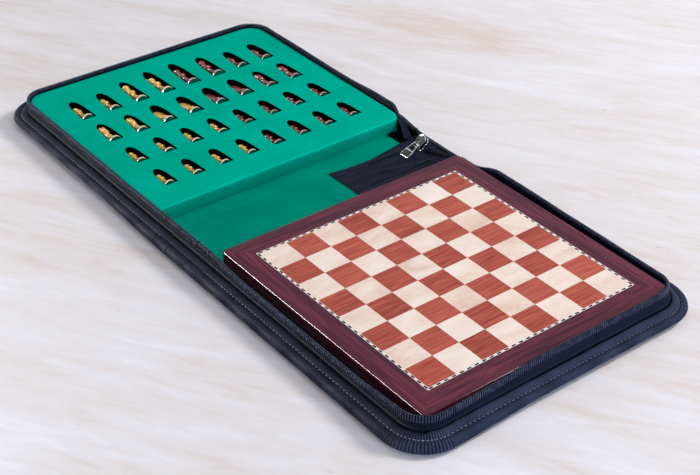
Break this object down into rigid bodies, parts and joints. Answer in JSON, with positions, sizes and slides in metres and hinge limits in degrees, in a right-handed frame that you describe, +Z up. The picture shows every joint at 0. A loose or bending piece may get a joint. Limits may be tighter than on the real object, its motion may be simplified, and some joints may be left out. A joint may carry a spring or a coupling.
{
  "type": "magnetic travel chess set",
  "caption": "Zipped fabric folio lying open: a glossy inlaid chess board in one half, and a felt-topped foam tray of chessmen in bullet-shaped slots in the other.",
  "frame": {"origin": "on the ground, under the middle of the spine of the open case", "axes": "+X from the tray half to the board half, +Y along the spine to the end with the zip slider, +Z up"},
  "size_m": [0.594, 0.292, 0.023],
  "materials": {
    "navy_nylon": "ribbed nylon weave",
    "cover_board": "grey board, hidden",
    "green_felt": "flocked felt",
    "black_foam": "cut foam",
    "zip_coil": "wound nylon coil",
    "chromed_zinc": "polished",
    "rosewood": "gloss lacquer",
    "sheet_steel": "plain, hidden",
    "inlay_black_white": "gloss lacquer",
    "padauk": "gloss lacquer",
    "maple": "gloss lacquer",
    "boxwood": "satin, turned",
    "stained_wood": "satin, turned"
  },
  "bodies": {
    "board_half": {"board_half_skin": "navy_nylon", "board_half_stiffener": "cover_board", "board_half_lining": "green_felt", "board_half_binding": "navy_nylon", "board_half_gusset": "navy_nylon", "board_half_zip_chain": "zip_coil"},
    "tray_half": {"tray_half_skin": "navy_nylon", "tray_half_stiffener": "cover_board", "tray_half_lining": "green_felt", "tray_half_binding": "navy_nylon", "tray_half_gusset": "navy_nylon", "tray_half_zip_chain": "zip_coil", "tray_foam_a": "black_foam", "tray_foam_b": "black_foam", "tray_foam_c": "black_foam", "tray_foam_d": "black_foam", "tray_felt": "green_felt"},
    "spine": {"spine_skin": "navy_nylon", "spine_lining": "green_felt", "spine_end_trim": "navy_nylon", "spine_zip_tape": "navy_nylon", "zip_slider_body": "chromed_zinc"},
    "zip_pull": {"zip_pull_tab": "chromed_zinc"},
    "chess_board": {"board_body": "rosewood", "board_steel_sheet": "sheet_steel", "board_banding": "inlay_black_white", "dark_squares": "padauk", "light_squares": "maple"},
    "light_bishop_1": {"light_bishop_1": "boxwood"},
    "light_bishop_2": {"light_bishop_2": "boxwood"},
    "light_queen": {"light_queen": "boxwood"},
    "light_king": {"light_king": "boxwood"},
    "dark_king": {"dark_king": "stained_wood"},
    "dark_queen": {"dark_queen": "stained_wood"},
    "dark_bishop_1": {"dark_bishop_1": "stained_wood"},
    "dark_bishop_2": {"dark_bishop_2": "stained_wood"},
    "light_rook_1": {"light_rook_1": "boxwood"},
    "light_rook_2": {"light_rook_2": "boxwood"},
    "light_knight_1": {"light_knight_1": "boxwood"},
    "light_knight_2": {"light_knight_2": "boxwood"},
    "dark_knight_1": {"dark_knight_1": "stained_wood"},
    "dark_knight_2": {"dark_knight_2": "stained_wood"},
    "dark_rook_1": {"dark_rook_1": "stained_wood"},
    "dark_rook_2": {"dark_rook_2": "stained_wood"},
    "light_pawn_1": {"light_pawn_1": "boxwood"},
    "light_pawn_2": {"light_pawn_2": "boxwood"},
    "light_pawn_3": {"light_pawn_3": "boxwood"},
    "light_pawn_4": {"light_pawn_4": "boxwood"},
    "dark_pawn_1": {"dark_pawn_1": "stained_wood"},
    "dark_pawn_2": {"dark_pawn_2": "stained_wood"},
    "dark_pawn_3": {"dark_pawn_3": "stained_wood"},
    "dark_pawn_4": {"dark_pawn_4": "stained_wood"},
    "light_pawn_5": {"light_pawn_5": "boxwood"},
    "light_pawn_6": {"light_pawn_6": "boxwood"},
    "light_pawn_7": {"light_pawn_7": "boxwood"},
    "light_pawn_8": {"light_pawn_8": "boxwood"},
    "dark_pawn_5": {"dark_pawn_5": "stained_wood"},
    "dark_pawn_6": {"dark_pawn_6": "stained_wood"},
    "dark_pawn_7": {"dark_pawn_7": "stained_wood"},
    "dark_pawn_8": {"dark_pawn_8": "stained_wood"}
  },
  "joints": [
    {"name": "spine_fold", "type": "hinge", "parent": "board_half", "child": "spine", "pos_m": [0.0221, 0, 0.0012], "axis": [0, -1, 0], "range_deg": [-90, 0]},
    {"name": "tray_fold", "type": "hinge", "parent": "spine", "child": "tray_half", "pos_m": [-0.0221, 0, 0.0012], "axis": [0, -1, 0], "range_deg": [-90, 0], "deforming": ["spine_zip_tape"]},
    {"name": "pull_swing", "type": "hinge", "parent": "spine", "child": "zip_pull", "pos_m": [-0.006, 0.1091, 0.016], "axis": [-1, 0, 0], "range_deg": [0, 105]},
    {"name": "board_lift", "type": "slide", "parent": "board_half", "child": "chess_board", "axis": [0, 0, 1], "range_m": [0, 0.04]},
    {"name": "light_bishop_1_lift", "type": "slide", "parent": "tray_half", "child": "light_bishop_1", "axis": [0, 0, 1], "range_m": [0, 0.03]},
    {"name": "light_bishop_2_lift", "type": "slide", "parent": "tray_half", "child": "light_bishop_2", "axis": [0, 0, 1], "range_m": [0, 0.03]},
    {"name": "light_queen_lift", "type": "slide", "parent": "tray_half", "child": "light_queen", "axis": [0, 0, 1], "range_m": [0, 0.03]},
    {"name": "light_king_lift", "type": "slide", "parent": "tray_half", "child": "light_king", "axis": [0, 0, 1], "range_m": [0, 0.03]},
    {"name": "dark_king_lift", "type": "slide", "parent": "tray_half", "child": "dark_king", "axis": [0, 0, 1], "range_m": [0, 0.03]},
    {"name": "dark_queen_lift", "type": "slide", "parent": "tray_half", "child": "dark_queen", "axis": [0, 0, 1], "range_m": [0, 0.03]},
    {"name": "dark_bishop_1_lift", "type": "slide", "parent": "tray_half", "child": "dark_bishop_1", "axis": [0, 0, 1], "range_m": [0, 0.03]},
    {"name": "dark_bishop_2_lift", "type": "slide", "parent": "tray_half", "child": "dark_bishop_2", "axis": [0, 0, 1], "range_m": [0, 0.03]},
    {"name": "light_rook_1_lift", "type": "slide", "parent": "tray_half", "child": "light_rook_1", "axis": [0, 0, 1], "range_m": [0, 0.03]},
    {"name": "light_rook_2_lift", "type": "slide", "parent": "tray_half", "child": "light_rook_2", "axis": [0, 0, 1], "range_m": [0, 0.03]},
    {"name": "light_knight_1_lift", "type": "slide", "parent": "tray_half", "child": "light_knight_1", "axis": [0, 0, 1], "range_m": [0, 0.03]},
    {"name": "light_knight_2_lift", "type": "slide", "parent": "tray_half", "child": "light_knight_2", "axis": [0, 0, 1], "range_m": [0, 0.03]},
    {"name": "dark_knight_1_lift", "type": "slide", "parent": "tray_half", "child": "dark_knight_1", "axis": [0, 0, 1], "range_m": [0, 0.03]},
    {"name": "dark_knight_2_lift", "type": "slide", "parent": "tray_half", "child": "dark_knight_2", "axis": [0, 0, 1], "range_m": [0, 0.03]},
    {"name": "dark_rook_1_lift", "type": "slide", "parent": "tray_half", "child": "dark_rook_1", "axis": [0, 0, 1], "range_m": [0, 0.03]},
    {"name": "dark_rook_2_lift", "type": "slide", "parent": "tray_half", "child": "dark_rook_2", "axis": [0, 0, 1], "range_m": [0, 0.03]},
    {"name": "light_pawn_1_lift", "type": "slide", "parent": "tray_half", "child": "light_pawn_1", "axis": [0, 0, 1], "range_m": [0, 0.03]},
    {"name": "light_pawn_2_lift", "type": "slide", "parent": "tray_half", "child": "light_pawn_2", "axis": [0, 0, 1], "range_m": [0, 0.03]},
    {"name": "light_pawn_3_lift", "type": "slide", "parent": "tray_half", "child": "light_pawn_3", "axis": [0, 0, 1], "range_m": [0, 0.03]},
    {"name": "light_pawn_4_lift", "type": "slide", "parent": "tray_half", "child": "light_pawn_4", "axis": [0, 0, 1], "range_m": [0, 0.03]},
    {"name": "dark_pawn_1_lift", "type": "slide", "parent": "tray_half", "child": "dark_pawn_1", "axis": [0, 0, 1], "range_m": [0, 0.03]},
    {"name": "dark_pawn_2_lift", "type": "slide", "parent": "tray_half", "child": "dark_pawn_2", "axis": [0, 0, 1], "range_m": [0, 0.03]},
    {"name": "dark_pawn_3_lift", "type": "slide", "parent": "tray_half", "child": "dark_pawn_3", "axis": [0, 0, 1], "range_m": [0, 0.03]},
    {"name": "dark_pawn_4_lift", "type": "slide", "parent": "tray_half", "child": "dark_pawn_4", "axis": [0, 0, 1], "range_m": [0, 0.03]},
    {"name": "light_pawn_5_lift", "type": "slide", "parent": "tray_half", "child": "light_pawn_5", "axis": [0, 0, 1], "range_m": [0, 0.03]},
    {"name": "light_pawn_6_lift", "type": "slide", "parent": "tray_half", "child": "light_pawn_6", "axis": [0, 0, 1], "range_m": [0, 0.03]},
    {"name": "light_pawn_7_lift", "type": "slide", "parent": "tray_half", "child": "light_pawn_7", "axis": [0, 0, 1], "range_m": [0, 0.03]},
    {"name": "light_pawn_8_lift", "type": "slide", "parent": "tray_half", "child": "light_pawn_8", "axis": [0, 0, 1], "range_m": [0, 0.03]},
    {"name": "dark_pawn_5_lift", "type": "slide", "parent": "tray_half", "child": "dark_pawn_5", "axis": [0, 0, 1], "range_m": [0, 0.03]},
    {"name": "dark_pawn_6_lift", "type": "slide", "parent": "tray_half", "child": "dark_pawn_6", "axis": [0, 0, 1], "range_m": [0, 0.03]},
    {"name": "dark_pawn_7_lift", "type": "slide", "parent": "tray_half", "child": "dark_pawn_7", "axis": [0, 0, 1], "range_m": [0, 0.03]},
    {"name": "dark_pawn_8_lift", "type": "slide", "parent": "tray_half", "child": "dark_pawn_8", "axis": [0, 0, 1], "range_m": [0, 0.03]}
  ]
}
